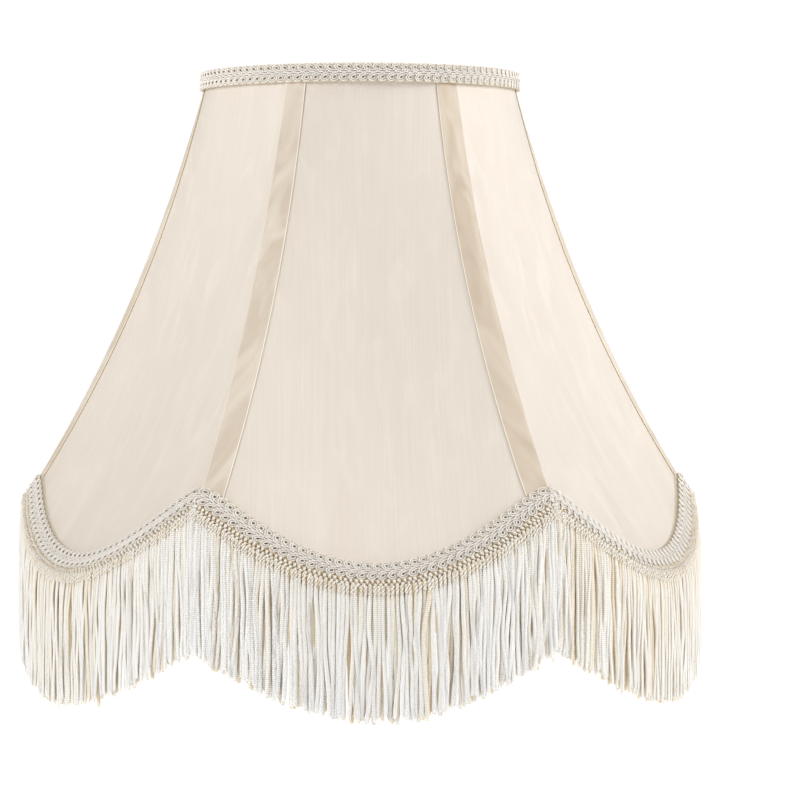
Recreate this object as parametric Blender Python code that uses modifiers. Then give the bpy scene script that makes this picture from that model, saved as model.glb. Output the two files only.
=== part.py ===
"""Scalloped bell lamp shade with a spider fitter.

A painted wire frame carries six stretched cloth panels, a lining, gimp braid and a cord fringe.
The origin is the centre of the fitter's hole, +Z is up and -Y is the front. Depths are measured
down from the cover's top edge, azimuths from the front towards +X. Sizes are in metres.
"""

import math
from collections import namedtuple

import bpy
from mathutils import Vector

# Overall shape: the surface that the cover is stretched over, and its edges.
PANELS = 6
TOP_RADIUS = 0.0725
HEM_RADIUS = 0.1581
CUSP_DEPTH = 0.2013  # top edge to the hem at a rib
SCALLOP_DROP = 0.0325  # hem at a rib to the hem at a panel's middle
BELL_STRAIGHTNESS = 0.67  # share of the flare that grows evenly with depth
BELL_POWER = 2.4  # how late the rest of the flare comes
PANEL_FLATNESS = 0.80  # 0 is round between the ribs, 1 is a flat chord
FLAT_START = 0.04  # share of the depth that stays round at the top ring
FLAT_SKEW = 0.85

# Wire frame.
RING_WIRE = 0.0030
RIB_WIRE = 0.0024
SCALLOP_WIRE = 0.0024
SCALLOP_WIRE_RISE = 0.0020  # hem up to the middle of the scallop wire
SPIDER_WIRE = 0.0023
FITTER_DROP = 0.0125  # cover's top edge down to the middle of the washer
FITTER_HOLE = 0.0100
WASHER_WIDTH = 0.0189
WASHER_THICKNESS = 0.0016
WASHER_BEVEL = 0.0003
SPIDER_ARMS = 3
SPIDER_BEND = 0.0040  # straight ends of an arm before it slopes

# Cloth and trim.
COVER_CLOTH = 0.0004
LINING_CLOTH = 0.0004
FRONT_LAP = 0.0100  # lap of a panel over its neighbour
SIDE_LAP = 0.0045
LAP_RAMP = 0.0012  # where a lap starts to rise, from the rib
BINDING_TAPE = 0.0003
BINDING_OUTER_DROP = 0.0098
BINDING_INNER_DROP = 0.0080
GIMP_THICKNESS = 0.0015
TOP_GIMP_WIDTH = 0.0088
HEM_GIMP_RISE = 0.0070  # gimp above the hem line
HEM_GIMP_DROP = 0.0020  # gimp below the hem line
HEADING_THICKNESS = 0.0008
HEADING_RISE = 0.0075
HEADING_DROP = 0.0065
FRINGE_THICKNESS = 0.0030
FRINGE_STANDOFF = 0.0070  # hem radius to the fringe's outer side
FRINGE_CUSP_LENGTH = 0.0670  # hem to the cords' ends at a rib
FRINGE_DROP = 0.0300  # the cords' ends at a rib to those at a panel's middle

GAP = 0.0003  # clearance between pieces that touch
FACET_ALLOWANCE = 0.0002  # what the flat facets of two curved layers take from a clearance
STATIONS = 10  # columns across a panel
COVER_ROWS = 10
LINING_COLUMNS = 5
LINING_ROWS = 7
ROUND_STEPS = PANELS * STATIONS

PANEL_ANGLE = math.tau / PANELS
HALF_PANEL = PANEL_ANGLE / 2
PANEL_NAMES = ("front", "front_right", "back_right", "back", "back_left", "front_left")
RIB_NAMES = ("front_right", "right", "back_right", "back_left", "left", "front_left")

# Offsets from the stretched surface, outward positive.
LAYER_GAP = GAP + FACET_ALLOWANCE
LAP_LIFT = COVER_CLOTH + LAYER_GAP
TRIM_OFFSET = LAP_LIFT + COVER_CLOTH + LAYER_GAP
HEM_GIMP_OFFSET = TRIM_OFFSET + HEADING_THICKNESS + GAP
TOP_GIMP_OFFSET = TRIM_OFFSET + BINDING_TAPE + GAP
RING_OFFSET = -(LAYER_GAP + RING_WIRE / 2)
RIB_OFFSET = -(LAYER_GAP + RIB_WIRE / 2) / math.cos(HALF_PANEL)
SCALLOP_WIRE_OFFSET = -(LAYER_GAP + SCALLOP_WIRE / 2)
LINING_OUTER_OFFSET = min(
    RING_OFFSET - RING_WIRE / 2 - LAYER_GAP,
    RIB_OFFSET - (RIB_WIRE / 2 + GAP) / math.cos(HALF_PANEL),
    SCALLOP_WIRE_OFFSET - SCALLOP_WIRE / 2 - LAYER_GAP,
)
LINING_OFFSET = LINING_OUTER_OFFSET - LINING_CLOTH
LINING_SAG = TOP_RADIUS * (1 - math.cos(HALF_PANEL / LINING_COLUMNS))
BINDING_INNER_OFFSET = LINING_OFFSET - GAP - LINING_SAG

RING_DEPTH = RING_WIRE / 2
ARM_DEPTH = RING_WIRE
LINING_TOP = ARM_DEPTH + SPIDER_WIRE / 2 + 2 * GAP

# One column of a panel's grid: an azimuth, a distance along the cloth from it, and a lift.
Column = namedtuple("Column", "azimuth along lift")


def panel_angle(azimuth):
    """Angle from the middle of the panel that the azimuth falls in."""
    return (azimuth + HALF_PANEL) % PANEL_ANGLE - HALF_PANEL


def hem_depth(azimuth):
    """Depth of the scalloped hem line."""
    share = abs(panel_angle(azimuth)) / HALF_PANEL
    return CUSP_DEPTH + SCALLOP_DROP * math.cos(math.pi / 2 * share)


def rib_radius(share):
    """Radius of the stretched surface on a rib, at a share of the hem's depth."""
    share = max(share, 0.0)
    flare = BELL_STRAIGHTNESS * share + (1 - BELL_STRAIGHTNESS) * share**BELL_POWER
    return TOP_RADIUS + (HEM_RADIUS - TOP_RADIUS) * flare


def lean(share):
    """Cosine of the bell's slope from the vertical."""
    share = max(share, 0.0)
    bend = (1 - BELL_STRAIGHTNESS) * BELL_POWER * share ** (BELL_POWER - 1)
    slope = (HEM_RADIUS - TOP_RADIUS) * (BELL_STRAIGHTNESS + bend) / CUSP_DEPTH
    return 1 / math.hypot(1, slope)


def surface_radius(azimuth, share):
    """Radius of the stretched surface: round at both ends and flatter between the ribs."""
    along = min(max((share - FLAT_START) / (1 - FLAT_START), 0.0), 1.0)
    flatness = PANEL_FLATNESS * math.sin(math.pi * along**FLAT_SKEW)
    chord = math.cos(HALF_PANEL) / math.cos(panel_angle(azimuth))
    return rib_radius(share) * (1 - flatness * (1 - chord))


def place(radius, azimuth, depth):
    """World point at a radius, an azimuth and a depth below the cover's top edge."""
    x = radius * math.sin(azimuth)
    y = -radius * math.cos(azimuth)
    return Vector((x, y, FITTER_DROP - depth))


def on_surface(azimuth, depth, offset=0.0):
    """World point at an offset from the stretched surface."""
    share = depth / hem_depth(azimuth)
    radius = surface_radius(azimuth, share) + offset / lean(share)
    return place(radius, azimuth, depth)


def spread(start, end, count):
    """Evenly spaced values with both ends."""
    return [start + (end - start) * i / count for i in range(count + 1)]


def make_material(name, colour, roughness, metallic=0.0):
    material = bpy.data.materials.new(name)
    material.use_nodes = True
    shader = material.node_tree.nodes["Principled BSDF"]
    shader.inputs["Base Color"].default_value = (*colour, 1.0)
    shader.inputs["Roughness"].default_value = roughness
    shader.inputs["Metallic"].default_value = metallic
    material.diffuse_color = (*colour, 1.0)
    return material


def add_object(name, data, material, collection):
    obj = bpy.data.objects.new(name, data)
    data.materials.append(material)
    collection.objects.link(obj)
    return obj


def sheet(name, grid, thickness, material, collection):
    """Cloth or tape: an open grid of points, top row first, thickened outwards."""
    columns = len(grid[0])
    points = [point for row in grid for point in row]
    faces = []
    for i in range(len(grid) - 1):
        for j in range(columns - 1):
            corner = i * columns + j
            below = corner + columns
            faces.append((corner, below, below + 1, corner + 1))
    mesh = bpy.data.meshes.new(name)
    mesh.from_pydata(points, [], faces)
    mesh.shade_smooth()
    obj = add_object(name, mesh, material, collection)
    solidify = obj.modifiers.new("Thickness", "SOLIDIFY")
    solidify.thickness = thickness
    solidify.offset = 1.0
    return obj


def turned(name, profile, steps, material, collection):
    """Ring turned about +Z from a closed (radius, z) outline that runs down its outer side."""
    points = [(radius, 0.0, z) for radius, z in profile]
    edges = [(i, (i + 1) % len(profile)) for i in range(len(profile))]
    mesh = bpy.data.meshes.new(name)
    mesh.from_pydata(points, edges, [])
    obj = add_object(name, mesh, material, collection)
    screw = obj.modifiers.new("Turn", "SCREW")
    screw.steps = steps
    screw.render_steps = steps
    screw.use_merge_vertices = True
    screw.merge_threshold = 0.00001
    return obj


def wire(name, points, diameter, material, collection):
    """Round wire with filled ends along a list of points."""
    curve = bpy.data.curves.new(name, "CURVE")
    curve.dimensions = "3D"
    curve.bevel_depth = diameter / 2
    curve.bevel_resolution = 2
    curve.use_fill_caps = True
    spline = curve.splines.new("POLY")
    spline.points.add(len(points) - 1)
    for target, point in zip(spline.points, points):
        target.co = (*point, 1.0)
    return add_object(name, curve, material, collection)


# Fitter and frame -----------------------------------------------------------------------------


def make_washer(material, collection):
    hole = FITTER_HOLE / 2
    rim = WASHER_WIDTH / 2
    half = WASHER_THICKNESS / 2
    edge = WASHER_BEVEL
    profile = [
        (rim - edge, half),
        (rim, half - edge),
        (rim, edge - half),
        (rim - edge, -half),
        (hole + edge, -half),
        (hole, edge - half),
        (hole, half - edge),
        (hole + edge, half),
    ]
    return turned("fitter_washer", profile, 48, material, collection)


def arm_azimuth(index):
    """An arm meets the ring at every other rib."""
    return HALF_PANEL + index * math.tau / SPIDER_ARMS


def ring_radius():
    share = RING_DEPTH / hem_depth(0.0)
    return rib_radius(share) + RING_OFFSET / lean(share)


def make_spider_arm(index, material, collection):
    azimuth = arm_azimuth(index)
    inner = WASHER_WIDTH / 2 + GAP
    outer = ring_radius() - RING_WIRE / 2 - GAP
    points = [
        place(inner, azimuth, FITTER_DROP),
        place(inner + SPIDER_BEND, azimuth, FITTER_DROP),
        place(outer - SPIDER_BEND, azimuth, ARM_DEPTH),
        place(outer, azimuth, ARM_DEPTH),
    ]
    return wire(f"spider_arm_{index + 1}", points, SPIDER_WIRE, material, collection)


def make_top_ring(material, collection):
    bpy.ops.mesh.primitive_torus_add(
        major_segments=ROUND_STEPS,
        minor_segments=8,
        major_radius=ring_radius(),
        minor_radius=RING_WIRE / 2,
        location=(0, 0, FITTER_DROP - RING_DEPTH),
    )
    ring = bpy.context.active_object
    ring.name = "top_ring"
    ring.data.materials.append(material)
    ring.data.shade_smooth()
    for home in list(ring.users_collection):
        home.objects.unlink(ring)
    collection.objects.link(ring)
    return ring


def scallop_slope():
    """Slope angle of the hem line where it meets a rib."""
    return math.atan(SCALLOP_DROP * math.pi / 2 / (HALF_PANEL * HEM_RADIUS))


def make_rib(index, material, collection):
    azimuth = HALF_PANEL + index * PANEL_ANGLE
    tilt = RIB_WIRE / 2 * math.sqrt(1 - lean(0) ** 2)
    head = RING_WIRE + GAP + tilt
    foot_gap = (SCALLOP_WIRE / 2) / math.cos(scallop_slope()) + GAP + RIB_WIRE / 2
    foot = CUSP_DEPTH - SCALLOP_WIRE_RISE - foot_gap
    rows = [share * CUSP_DEPTH for share in spread(FLAT_START, 1, COVER_ROWS)]
    depths = [head] + [depth for depth in rows if head < depth < foot] + [foot]
    points = [on_surface(azimuth, depth, RIB_OFFSET) for depth in depths]
    return wire(f"rib_{RIB_NAMES[index]}", points, RIB_WIRE, material, collection)


def panel_span(index, margin):
    """Azimuths of one panel's two sides, each a margin in from its rib."""
    middle = index * PANEL_ANGLE
    inset = margin / HEM_RADIUS
    return middle - HALF_PANEL + inset, middle + HALF_PANEL - inset


def make_scallop_wire(index, material, collection):
    margin = SCALLOP_WIRE / 2 * math.sin(scallop_slope()) + GAP
    low, high = panel_span(index, margin)
    points = []
    for azimuth in spread(low, high, STATIONS):
        depth = hem_depth(azimuth) - SCALLOP_WIRE_RISE
        points.append(on_surface(azimuth, depth, SCALLOP_WIRE_OFFSET))
    return wire(f"scallop_wire_{PANEL_NAMES[index]}", points, SCALLOP_WIRE, material, collection)


# Cover and lining -----------------------------------------------------------------------------


def lap_width(index, side):
    """Lap of a panel over its neighbour: every panel covers the one that is nearer the front."""
    laps = {1: (FRONT_LAP, 0), 2: (SIDE_LAP, 0), 3: (FRONT_LAP, FRONT_LAP)}
    laps[4] = (0, SIDE_LAP)
    laps[5] = (0, FRONT_LAP)
    return laps.get(index, (0, 0))[side > 0]


def cover_edge(rib, side, lap):
    """Columns of a panel's margin on one side, from the rib outwards."""
    if not lap:
        return [Column(rib, 0.0, 0.0)]
    return [
        Column(rib, -side * LAP_RAMP, 0.0),
        Column(rib, -side * GAP, LAP_LIFT),
        Column(rib, 0.0, LAP_LIFT),
        Column(rib, side * lap / 2, LAP_LIFT),
        Column(rib, side * lap, LAP_LIFT),
    ]


def make_cover(index, material, collection):
    low, high = panel_span(index, 0.0)
    columns = cover_edge(low, -1, lap_width(index, -1))[::-1]
    columns += [Column(azimuth, 0.0, 0.0) for azimuth in spread(low, high, STATIONS)[1:-1]]
    columns += cover_edge(high, 1, lap_width(index, 1))
    grid = []
    for share in [0.0] + spread(FLAT_START, 1, COVER_ROWS):
        row = []
        for column in columns:
            azimuth = column.azimuth + column.along / rib_radius(share)
            row.append(on_surface(azimuth, share * hem_depth(azimuth), column.lift))
        grid.append(row)
    return sheet(f"cover_{PANEL_NAMES[index]}", grid, COVER_CLOTH, material, collection)


def make_lining(index, material, collection):
    grid = []
    for share in [0.0] + spread(FLAT_START, 1, LINING_ROWS):
        low, high = panel_span(index, GAP * HEM_RADIUS / rib_radius(share))
        row = []
        for azimuth in spread(low, high, LINING_COLUMNS):
            depth = max(share * hem_depth(azimuth), LINING_TOP)
            row.append(on_surface(azimuth, depth, LINING_OFFSET))
        grid.append(row)
    return sheet(f"lining_{PANEL_NAMES[index]}", grid, LINING_CLOTH, material, collection)


# Binding, gimp and fringe ---------------------------------------------------------------------


def round_point(depth, offset):
    """Outline point of a turned trim: outside the ribs' line or inside the panels' middles."""
    share = depth / (CUSP_DEPTH if offset > 0 else hem_depth(0.0))
    return (rib_radius(share) + offset / lean(share), FITTER_DROP - depth)


def make_arm_slot(index, collection):
    """Cutter that lets a spider arm through the binding's inner leg."""
    azimuth = arm_azimuth(index)
    top = ARM_DEPTH - SPIDER_WIRE / 2 - GAP
    bottom = BINDING_INNER_DROP + 2 * GAP
    inner = round_point(0.0, BINDING_INNER_OFFSET)[0] - 4 * BINDING_TAPE
    outer = round_point(BINDING_INNER_DROP, BINDING_INNER_OFFSET / 2)[0]
    bpy.ops.mesh.primitive_cube_add(size=1, location=(0, 0, 0))
    cutter = bpy.context.active_object
    cutter.name = f"arm_slot_{index + 1}"
    cutter.scale = (SPIDER_WIRE + 2 * GAP, outer - inner, bottom - top)
    cutter.rotation_euler = (0, 0, azimuth)
    cutter.location = place((inner + outer) / 2, azimuth, (top + bottom) / 2)
    cutter.display_type = "WIRE"
    cutter.hide_render = True
    for home in list(cutter.users_collection):
        home.objects.unlink(cutter)
    collection.objects.link(cutter)
    return cutter


def make_top_binding(material, collection, cutters):
    """Tape folded over the top ring, from under the gimp to inside the lining."""
    outer = TRIM_OFFSET + BINDING_TAPE
    inner = BINDING_INNER_OFFSET - BINDING_TAPE
    profile = [
        round_point(-GAP - BINDING_TAPE, outer),
        round_point(BINDING_OUTER_DROP, outer),
        round_point(BINDING_OUTER_DROP, TRIM_OFFSET),
        round_point(-GAP, TRIM_OFFSET),
        round_point(-GAP, BINDING_INNER_OFFSET),
        round_point(BINDING_INNER_DROP, BINDING_INNER_OFFSET),
        round_point(BINDING_INNER_DROP, inner),
        round_point(-GAP - BINDING_TAPE, inner),
    ]
    binding = turned("top_binding", profile, ROUND_STEPS, material, collection)
    for index in range(SPIDER_ARMS):
        slot = binding.modifiers.new(f"Arm slot {index + 1}", "BOOLEAN")
        slot.operation = "DIFFERENCE"
        slot.object = make_arm_slot(index, cutters)
    return binding


def make_top_gimp(material, collection):
    outer = TOP_GIMP_OFFSET + GIMP_THICKNESS
    top = -GAP - BINDING_TAPE
    bottom = top + TOP_GIMP_WIDTH
    profile = [
        round_point(top, outer),
        round_point(bottom, outer),
        round_point(bottom, TOP_GIMP_OFFSET),
        round_point(top, TOP_GIMP_OFFSET),
    ]
    return turned("top_gimp", profile, ROUND_STEPS, material, collection)


def hem_strip(name, index, drops, offset, thickness, material, collection):
    """Trim that follows one scallop, with rows at depths measured from the hem line."""
    low, high = panel_span(index, GAP / 2)
    grid = []
    for drop in drops:
        row = []
        for azimuth in spread(low, high, STATIONS):
            row.append(on_surface(azimuth, hem_depth(azimuth) + drop, offset))
        grid.append(row)
    return sheet(name, grid, thickness, material, collection)


def make_hem_gimp(index, material, collection):
    name = f"hem_gimp_{PANEL_NAMES[index]}"
    drops = (-HEM_GIMP_RISE, -HEM_GIMP_RISE / 2, 0.0, HEM_GIMP_DROP)
    offset = HEM_GIMP_OFFSET
    return hem_strip(name, index, drops, offset, GIMP_THICKNESS, material, collection)


def make_heading(index, material, collection):
    name = f"fringe_heading_{PANEL_NAMES[index]}"
    drops = (-HEADING_RISE, -HEADING_RISE / 2, 0.0, HEADING_DROP)
    offset = TRIM_OFFSET
    return hem_strip(name, index, drops, offset, HEADING_THICKNESS, material, collection)


def make_fringe(index, material, collection):
    """Curtain of hanging cords below one scallop's heading."""
    low, high = panel_span(index, GAP / 2)
    radius = HEM_RADIUS + FRINGE_STANDOFF - FRINGE_THICKNESS
    top_drop = HEADING_DROP + GAP
    grid = []
    for share in spread(0, 1, 2):
        row = []
        for azimuth in spread(low, high, STATIONS):
            top = hem_depth(azimuth) + top_drop
            turn = math.pi / 2 * abs(panel_angle(azimuth)) / HALF_PANEL
            bottom = CUSP_DEPTH + FRINGE_CUSP_LENGTH + FRINGE_DROP * math.cos(turn)
            row.append(place(radius, azimuth, top + share * (bottom - top)))
        grid.append(row)
    return sheet(f"fringe_{PANEL_NAMES[index]}", grid, FRINGE_THICKNESS, material, collection)


def main():
    for obj in list(bpy.data.objects):
        bpy.data.objects.remove(obj, do_unlink=True)
    shade = bpy.data.collections.new("lamp_shade")
    cutters = bpy.data.collections.new("cutters")
    bpy.context.scene.collection.children.link(shade)
    bpy.context.scene.collection.children.link(cutters)

    white_paint = make_material("white_paint", (0.78, 0.78, 0.79), 0.35)
    cover_cloth = make_material("cover_cloth", (0.80, 0.72, 0.62), 0.50)
    lining_cloth = make_material("lining_cloth", (0.86, 0.84, 0.80), 0.60)
    binding_tape = make_material("binding_tape", (0.72, 0.62, 0.47), 0.80)
    gimp_braid = make_material("gimp_braid", (0.78, 0.76, 0.70), 0.65)
    fringe_cord = make_material("fringe_cord", (0.80, 0.74, 0.62), 0.70)

    make_washer(white_paint, shade)
    make_top_ring(white_paint, shade)
    for index in range(SPIDER_ARMS):
        make_spider_arm(index, white_paint, shade)
    make_top_binding(binding_tape, shade, cutters)
    make_top_gimp(gimp_braid, shade)
    for index in range(PANELS):
        make_rib(index, white_paint, shade)
        make_scallop_wire(index, white_paint, shade)
        make_cover(index, cover_cloth, shade)
        make_lining(index, lining_cloth, shade)
        make_heading(index, binding_tape, shade)
        make_hem_gimp(index, gimp_braid, shade)
        make_fringe(index, fringe_cord, shade)


main()
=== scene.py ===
"""Looks of the bell lamp shade: stretched cloth, lining, gimp braid, knotted heading and cord fringe.

Depths are measured down from the cover's top edge, azimuths from the front towards +X, in metres.
An offset is measured out from the surface that the cover is stretched over.
"""

import math

import bpy
import numpy as np
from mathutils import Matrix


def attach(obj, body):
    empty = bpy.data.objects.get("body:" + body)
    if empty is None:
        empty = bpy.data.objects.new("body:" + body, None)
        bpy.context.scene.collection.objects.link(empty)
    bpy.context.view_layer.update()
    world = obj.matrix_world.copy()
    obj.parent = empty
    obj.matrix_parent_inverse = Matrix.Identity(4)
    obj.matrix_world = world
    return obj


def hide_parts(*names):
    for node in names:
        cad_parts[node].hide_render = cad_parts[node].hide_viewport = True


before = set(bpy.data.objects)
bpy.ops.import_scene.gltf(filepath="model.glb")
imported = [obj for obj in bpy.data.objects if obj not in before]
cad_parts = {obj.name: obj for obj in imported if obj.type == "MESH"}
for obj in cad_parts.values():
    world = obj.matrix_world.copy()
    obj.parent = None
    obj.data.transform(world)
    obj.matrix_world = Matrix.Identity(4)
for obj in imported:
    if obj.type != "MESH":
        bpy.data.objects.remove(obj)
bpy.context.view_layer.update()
rng = np.random.default_rng(7)

# The stretched surface and the frame, as in the CAD.
PANELS = 6
TOP_RADIUS = 0.0725
HEM_RADIUS = 0.1581
CUSP_DEPTH = 0.2013  # top edge to the hem at a rib
SCALLOP_DROP = 0.0325  # hem at a rib to the hem at a panel's middle
BELL_STRAIGHTNESS = 0.67
BELL_POWER = 2.4
PANEL_FLATNESS = 0.80
FLAT_START = 0.04
FLAT_SKEW = 0.85
SPIDER_WIRE = 0.0023
SPIDER_ARMS = 3
FITTER_DROP = 0.0125

PANEL_ANGLE = math.tau / PANELS
HALF_PANEL = PANEL_ANGLE / 2
NAMES = ("front", "front_right", "back_right", "back", "back_left", "front_left")
RIBS = ("front_right", "right", "back_right", "back_left", "left", "front_left")

# Cover. A lap's columns are shares of its width. LAPS gives each panel's laps on its left and right.
COVER_OFFSET = 0.0004  # the cloth's outer side
COVER_THICKNESS = 0.00028
COVER_STEPS = 52  # cells across a panel, closer together towards the ribs
EDGE_CROWDING = 1.6
COVER_ROWS = np.concatenate([[0.0, 0.02], np.linspace(0.04, 1, 74)])  # shares of the hem's depth
CREASE = 0.0012  # rounding of the cloth over a rib
FRONT_LAP = 0.0100
SIDE_LAP = 0.0045
LAPS = {1: (FRONT_LAP, 0), 2: (SIDE_LAP, 0), 3: (FRONT_LAP, FRONT_LAP), 4: (0, SIDE_LAP), 5: (0, FRONT_LAP)}
LAP_LIFT = 0.00046  # a lap's height over the cloth that it covers
LAP_RAMP = 0.0016  # width over which the cloth below rises to a lap
LAP_RAMP_START = 0.0002  # from the rib
LAP_COLUMNS = np.array([0.04, 0.09, 0.18, 0.30, 0.45, 0.60, 0.75, 0.88, 0.94, 0.97, 1.0])
HIGHLIGHT_WIDTH = 0.0005  # width of the painted highlight along a lap's edges
FOLD = 0.00016  # half the height of a lap's folded edge
FOLD_TURNS = (0.5, 1.1, 1.6, 2.1, 2.7)
FOLD_RETURN = (0.0001, 0.0012, 0.0025)  # how far the hem of a lap runs back under it

# The front right seam, whose darker band leaves the rib towards the top.
SHIFTED_SEAM = 1  # the panel whose left lap it is
SHIFT_KEPT = 0.54  # share of the lap's width that is left at the top
SHIFT_PAST = 0.0058  # how far the double cloth runs past the rib at the top
SHIFT_POWER = 0.6

# What the cover's mark says to its material, in rising order.
MARK_NEAR_BAND = 0.22  # edge of the double cloth past the rib
MARK_PAST = 0.252  # double cloth past the rib
MARK_RIGHT_BAND = 0.28
MARK_BAND = 0.4
MARK_HIGHLIGHT = 0.7
MARK_FRONT_FOLD_SHADOW = 0.88
MARK_SIDE_FOLD_SHADOW = 1.0
MARK_SLOPE = 150.0  # per metre, across the edge of the double cloth

# Lining, and the roll that joins it to the hem: depth past the hem, offset, way past the cusp's depth.
LINING_OFFSET = -0.0044
LINING_THICKNESS = 0.00025
LINING_COLUMNS = 31
LINING_ROWS = np.linspace(0.0235, 0.997, 56)  # shares of the hem's depth
LINING_ROLL = (
    (0.0000, -0.0043, 0.0005),
    (0.0004, -0.0037, 0.0012),
    (0.0006, -0.0026, 0.0024),
    (0.0005, -0.0014, 0.0036),
    (0.0001, -0.0002, 0.0048),
)

# Binding tape over the top ring.
TAPE_THICKNESS = 0.0003
TAPE_STEPS = 720
BINDING_INNER_OFFSET = -0.0051
BINDING_OUTER_OFFSET = 0.0018
BINDING_OUTER_DEPTHS = (0.0084, 0.006, 0.003)
BINDING_INNER_DEPTHS = (0.0022, 0.0030, 0.0045, 0.006, 0.0080)
BINDING_SHOULDER = 0.0016  # depth at which the tape starts to round over the ring
BINDING_CROWN = 0.0022  # rise from there
NOTCH_RADIUS = 0.0677
NOTCH_CLEARANCE = 0.0004

# Gimp braid. Distances across it are measured from its centre line, downwards.
GIMP_PITCH = 0.0044
GIMP_RING = 0.0020  # centre line to the middle of a row of rings
GIMP_HALF = 0.00160  # half the travel of the bundle across a row
GIMP_SWING = 0.00250  # half its travel back and forth
GIMP_SKEW = 0.00025
GIMP_HEIGHT = 0.0006
GIMP_CROSSING = 0.0003  # rise and fall where yarns cross
GIMP_ROW_LIFT = 0.0001  # of the lower row over the upper
GIMP_YARN = 0.00017
GIMP_YARN_HEIGHT = 1.3  # of its width
GIMP_FLANK_SHADE = 0.56
GIMP_BUNDLE = np.array([-0.00062, -0.00029, 0.00029, 0.00062])  # yarns across the bundle, in pairs
GIMP_TONES = 1.06 + np.array([-0.06, 0.02, 0.04, 0.0])
GIMP_DIP_SHADE = 0.08
TOP_GIMP_DETAIL = (5, 22)  # sides of a yarn, points to a ring
HEM_GIMP_DETAIL = (6, 30)
GIMP_RISE = 0.0040  # hem line up to the gimp's centre line
GIMP_OFFSET = 0.0016
# Half of the core's section: across, out, tone. The core is a dark strip under the yarns, painted shade
# seen through the rings' eyes.
GIMP_SHADOW_CORE = np.array(((0.0039, -0.0011, 0.5), (0.0038, -0.0001, 0.24), (0.0010, 0.0002, 0.12)))
CUSP_ROUND = 0.07
LINE_OVERRUN = 1.12  # how far a hem line is known past its scallop, for pieces that lean over
TOP_GIMP_RADIUS = 0.0765
TOP_GIMP_DEPTH = 0.0040
TOP_GIMP_HALF = 0.0044
TOP_GIMP_FLARE = 0.0003
HEM_LEAN = 0.55  # outward lean of the trim along the hem
HEM_LEAN_BELOW = -0.1  # height under which trim is on the hem

# Knotted heading of the fringe. The tape's section is given across and out.
HEADING_TAPE = np.array((
    (-0.0034, -0.0010), (-0.0032, -0.0004), (0.0000, -0.0003),
    (0.0040, -0.0002), (0.0078, -0.0002), (0.0080, -0.0010),
))
KNOT_PITCH = 0.00215
KNOT_PROFILE = np.array([0.35, 0.80, 1.0, 0.95, 0.75, 0.3])
KNOT_WIDTH = 0.00082
KNOT_HALF = 0.0009
KNOT_ROWS = ((0.0054, 0.00028, 0.0), (0.0072, -0.00028, 0.49))  # across, slant, shift in pitches
KNOT_HEIGHT = 0.0006
KNOT_SIDES = 7
KNOT_FLANK_SHADE = 0.36
THREAD_ROWS = (0.0046, 0.0063, 0.0081)
THREAD_YARN = 0.00022
THREAD_WAVE = 0.0002
THREAD_HEIGHT = 0.0007
THREAD_TONE = 0.28
THREAD_FLANK_SHADE = 0.1
HEADING_TONE = 0.30

# Cords of the fringe.
CORD_PITCH = 0.00175
# From the outside: radius, shift in pitches, tone, and how many cords, as a share of the first layer's.
# The inner layers' lower tone is painted shade between the cords.
CORD_LAYERS = ((0.1641, 0.0, 0.89, 1.0), (0.1633, 0.5, 0.66, 1.0), (0.1625, 0.2, 0.42, 0.9))
CORD_START = 0.0076  # across the heading
CORD_HEIGHT = 0.0007  # out from the gimp's seat, and what each layer lies behind the next
CORD_STEPS = 34
CORD_CUT = -0.0018  # mean of the ends, from the fringe's full length
CORD_LIMIT = 0.1650
CORD_FALL = 0.10  # share of the length over which a cord reaches its layer's radius
CORD_CLUMPS = ((0.0010, 0.0113), (0.0007, 0.0287))  # height and length of the waves that bunch cords
CORD_WAVES = ((0.00055, 0.5, 1.3), (0.00018, 1.6, 3.0))  # height, fewest and most waves in a cord
CORD_DRIFT = 0.0010  # sideways at the foot
CORD_SWAY = 0.00025  # in and out
CORD_HALF_WIDTHS = (0.00094, 0.00114)
CORD_FLATNESS = 0.5
CORD_NECK_WIDTH = 0.55  # of the full width
CORD_TIP_WIDTH = 0.72
CORD_SIDES = 7
CORD_FLANK_SHADE = 0.31
CORD_LEFT_FLANK_SHADE = 0.4  # of the right one
CORD_TOP_SHADE = 0.14
CORD_FOOT_LIGHT = 0.2
FRINGE_CUSP_LENGTH = 0.0670
FRINGE_DROP = 0.0288
DARKER_SCALLOP_CORDS = {1: 0.17, 5: 0.04}  # what the cords lose in tone there
GOLDEN_CORDS = 0.16  # share of the cords that are more golden
GOLDEN_TONE = 0.19  # what these lose
NECK_SHARE = 0.062  # of a cord's length
NECK_SWING = 0.00042
NECK_YARN = 0.0005
NECK_LIFT = 0.0002
NECK_TONE = 0.78
NECK_FLANK_SHADE = 0.34
NECK_SIDES = 6

TIP_LENGTH = 0.4  # of a yarn's half width


def panel_angle(azimuth):
    return (azimuth + HALF_PANEL) % PANEL_ANGLE - HALF_PANEL


def hem_depth(azimuth):
    return CUSP_DEPTH + SCALLOP_DROP * np.cos(math.pi / 2 * np.abs(panel_angle(azimuth)) / HALF_PANEL)


def rib_radius(share):
    share = np.maximum(share, 0.0)
    flare = BELL_STRAIGHTNESS * share + (1 - BELL_STRAIGHTNESS) * share**BELL_POWER
    return TOP_RADIUS + (HEM_RADIUS - TOP_RADIUS) * flare


def lean(share):
    """Cosine of the bell's slope from the vertical."""
    share = np.maximum(share, 0.0)
    bend = (1 - BELL_STRAIGHTNESS) * BELL_POWER * share ** (BELL_POWER - 1)
    return 1 / np.hypot(1, (HEM_RADIUS - TOP_RADIUS) * (BELL_STRAIGHTNESS + bend) / CUSP_DEPTH)


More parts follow.
